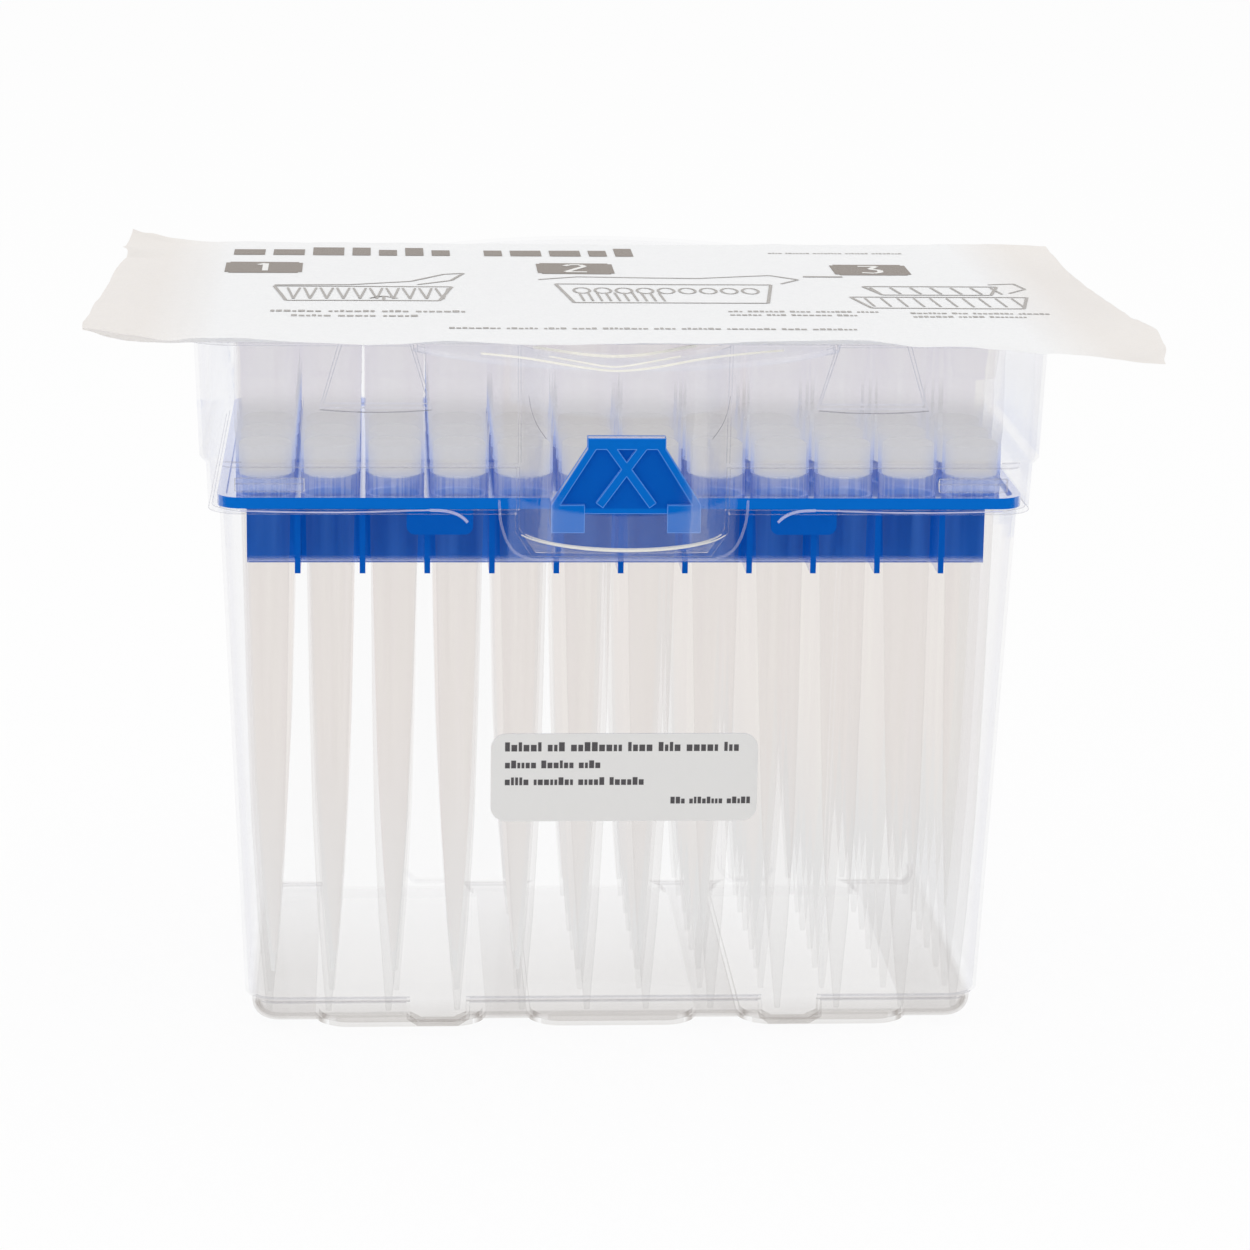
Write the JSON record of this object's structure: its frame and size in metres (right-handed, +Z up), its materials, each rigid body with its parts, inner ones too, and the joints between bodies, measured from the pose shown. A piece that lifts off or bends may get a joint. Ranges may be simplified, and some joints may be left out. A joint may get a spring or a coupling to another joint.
{
  "type": "box of pipette tips",
  "caption": "clear thermoformed refill tray of filter pipette tips standing in a blue rack with carrying handles, sealed with a printed white peel film",
  "frame": {"origin": "under the middle of the tray, on the plane that its feet stand on", "axes": "+X right along the long side, +Y to the rear, +Z up; the label faces -Y"},
  "size_m": [0.1474, 0.1162, 0.1018],
  "materials": {
    "clear_pet": "clear glossy thermoformed PET",
    "lid_film": "white spun-bonded peel film with grey print",
    "label_paper": "light grey self-adhesive label",
    "blue_pp": "satin blue moulded polypropylene",
    "tip_pp": "frosted translucent polypropylene",
    "filter_pe": "white porous polyethylene"
  },
  "bodies": {
    "root": {"tray": "clear_pet", "lid_film": "lid_film", "label": "label_paper", "tip_rack": "blue_pp", "tips_column_01": "tip_pp", "tips_column_02": "tip_pp", "tips_column_03": "tip_pp", "tips_column_04": "tip_pp", "tips_column_05": "tip_pp", "tips_column_06": "tip_pp", "tips_column_07": "tip_pp", "tips_column_08": "tip_pp", "tips_column_09": "tip_pp", "tips_column_10": "tip_pp", "tips_column_11": "tip_pp", "tips_column_12": "tip_pp", "filters_column_01": "filter_pe", "filters_column_02": "filter_pe", "filters_column_03": "filter_pe", "filters_column_04": "filter_pe", "filters_column_05": "filter_pe", "filters_column_06": "filter_pe", "filters_column_07": "filter_pe", "filters_column_08": "filter_pe", "filters_column_09": "filter_pe", "filters_column_10": "filter_pe", "filters_column_11": "filter_pe", "filters_column_12": "filter_pe"}
  },
  "joints": []
}
